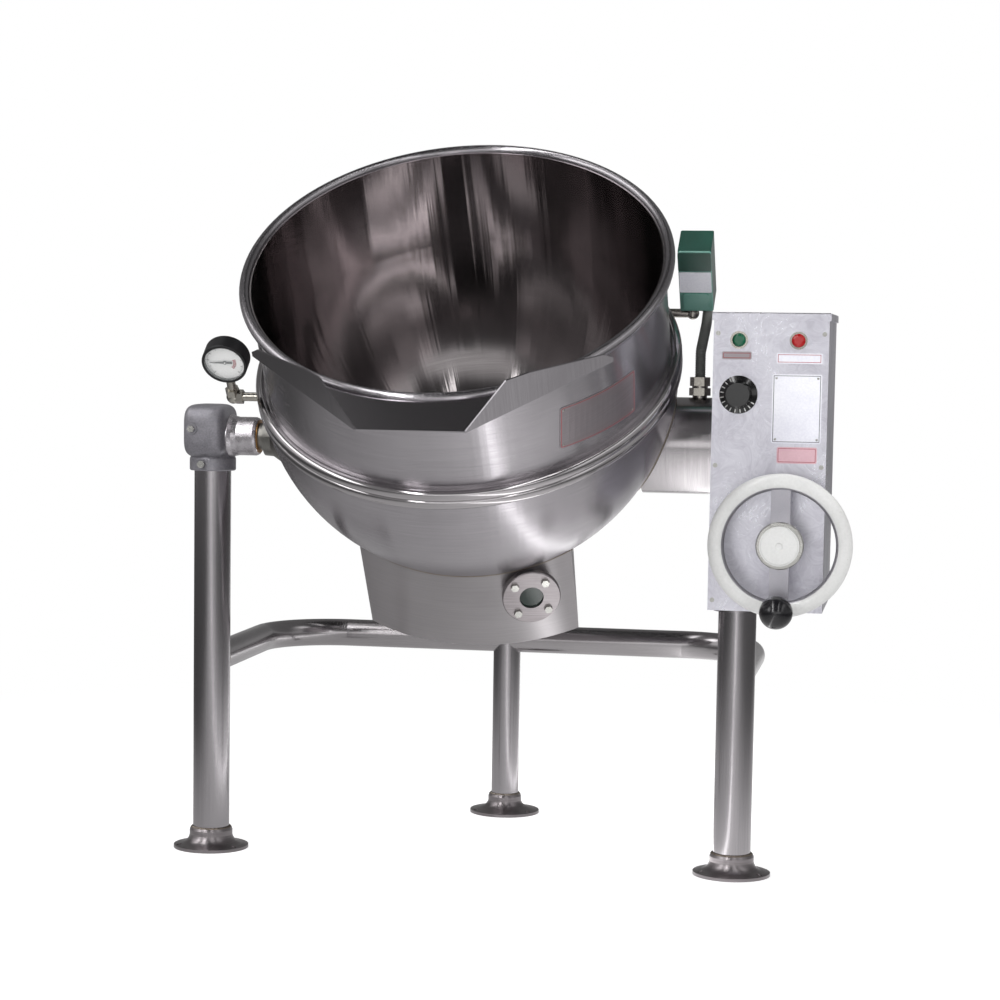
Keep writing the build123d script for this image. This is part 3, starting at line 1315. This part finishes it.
CONDUIT_START = (
    CONNECTOR_OUT,
    (TRUNNION_TUBE_RADIUS + CONNECTOR_HEIGHT) * sin(TILT),
    (TRUNNION_TUBE_RADIUS + CONNECTOR_HEIGHT) * cos(TILT),
)
CONDUIT_RISE = 40
CONDUIT_BENDS = (
    (
        CONNECTOR_OUT,
        CONDUIT_START[1] + CONDUIT_RISE * sin(TILT),
        CONDUIT_START[2] + CONDUIT_RISE * cos(TILT),
    ),
    (CONDUIT_X - 1, CONDUIT_Y - 22, 134),
)

with BuildPart() as conduit:
    with BuildLine(KETTLE) as hose:
        FilletPolyline(
            CONDUIT_START,
            *CONDUIT_BENDS,
            (CONDUIT_X, CONDUIT_Y, SWITCH_BOTTOM - 22),
            (CONDUIT_X, CONDUIT_Y, SWITCH_BOTTOM),
            radius=16,
        )
    with BuildSketch(Plane(origin=hose.line @ 0, z_dir=hose.line % 0)) as section:
        Circle(CONDUIT_RADIUS)
    sweep(section.sketch, path=hose.line)
conduit.part.label = "conduit"
export_step(conduit.part, "parts/conduit.step")

# ---------------------------------------------------------------- kettle: safety valve
# It stands on the back of the jacket, upright when the kettle is level.
VALVE_X = -120
VALVE_Y = 368
VALVE_BODY = 14
VALVE_TOP = STEAM_TAP_HEIGHT + 74
VALVE_STEM = 4
LEVER_PIN = 1.6
LEVER_HEIGHT = VALVE_TOP + 9
VALVE_ELBOW = on_kettle((VALVE_X, VALVE_Y, STEAM_TAP_HEIGHT), (0, -1, 0))

with BuildPart() as valve_pipe:
    add(welded_to_ring(VALVE_ELBOW, PIPE_RADIUS + 1, 90))
    with Locations(VALVE_ELBOW):
        Sphere(PIPE_RADIUS + 5)
    hexagon(VALVE_ELBOW.offset(6), PIPE_RADIUS + 5, 12)
    rod(on_kettle((VALVE_X, VALVE_Y, STEAM_TAP_HEIGHT)), PIPE_RADIUS + 3, 16)
valve_pipe.part.label = "valve_pipe"
export_step(valve_pipe.part, "parts/valve_pipe.step")

with BuildPart() as safety_valve:
    base = on_kettle((VALVE_X, VALVE_Y, STEAM_TAP_HEIGHT + 16))
    hexagon(base, VALVE_BODY + 3, 14)
    rod(base.offset(14), VALVE_BODY, 30)
    rod(on_kettle((VALVE_X, VALVE_Y, STEAM_TAP_HEIGHT + 46), (-1, 0, 0), (0, 1, 0)), 9, 24, 6)
    rod(base.offset(44), VALVE_BODY - 4, VALVE_TOP - STEAM_TAP_HEIGHT - 60)
    rod(on_kettle((VALVE_X, VALVE_Y, VALVE_TOP)), VALVE_STEM, 14)
    rod(
        on_kettle((VALVE_X - VALVE_STEM - 4, VALVE_Y, LEVER_HEIGHT), (1, 0, 0), (0, 1, 0)),
        LEVER_PIN,
        2 * VALVE_STEM + 8,
    )
safety_valve.part.label = "safety_valve"
export_step(safety_valve.part, "parts/safety_valve.step")

LEVER_SHEET = 1.8
LEVER_REACH = 46
with BuildPart() as valve_lever:
    for start in (-VALVE_STEM - 0.5 - LEVER_SHEET, VALVE_STEM + 0.5):
        cheek = on_kettle((VALVE_X + start, VALVE_Y, LEVER_HEIGHT), (1, 0, 0), (0, 1, 0))
        with BuildSketch(cheek) as strap:
            with BuildLine():
                Polyline((-6, -4), (-6, 4), (LEVER_REACH, 4), (LEVER_REACH, -2), (10, -4), close=True)
            make_face()
            Circle(LEVER_PIN + RUNNING_GAP, mode=Mode.SUBTRACT)
        extrude(strap.sketch, amount=LEVER_SHEET)
    block(
        on_kettle((VALVE_X, VALVE_Y + LEVER_REACH, LEVER_HEIGHT + 3), (0, -1, 0)),
        2 * (VALVE_STEM + LEVER_SHEET + 0.5),
        2,
        LEVER_REACH - VALVE_BODY,
    )
valve_lever.part.label = "valve_lever"
export_step(valve_lever.part, "parts/valve_lever.step")
